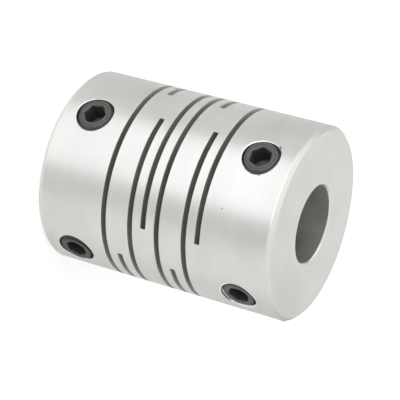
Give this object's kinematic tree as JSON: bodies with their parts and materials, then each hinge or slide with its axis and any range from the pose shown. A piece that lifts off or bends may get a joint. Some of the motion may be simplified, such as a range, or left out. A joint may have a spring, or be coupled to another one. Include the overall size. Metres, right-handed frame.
{
  "type": "flexible coupling",
  "caption": "Cylindrical shaft coupling with a through bore, a band of saw cuts from alternate sides that lets it bend, and hexagon socket set screws in its hubs.",
  "frame": {"origin": "centre of the lower end face, on the bore's axis", "axes": "+Z along the bore's axis from the lower hub to the upper hub; +X through the first set screw of each hub, +Y through the second"},
  "size_m": [0.02, 0.02, 0.026],
  "materials": {
    "turned_aluminium": "satin",
    "black_steel": "satin"
  },
  "bodies": {
    "root": {"coupling_body": "turned_aluminium", "lower_set_screw_x": "black_steel", "lower_set_screw_y": "black_steel", "upper_set_screw_x": "black_steel", "upper_set_screw_y": "black_steel"}
  },
  "joints": []
}
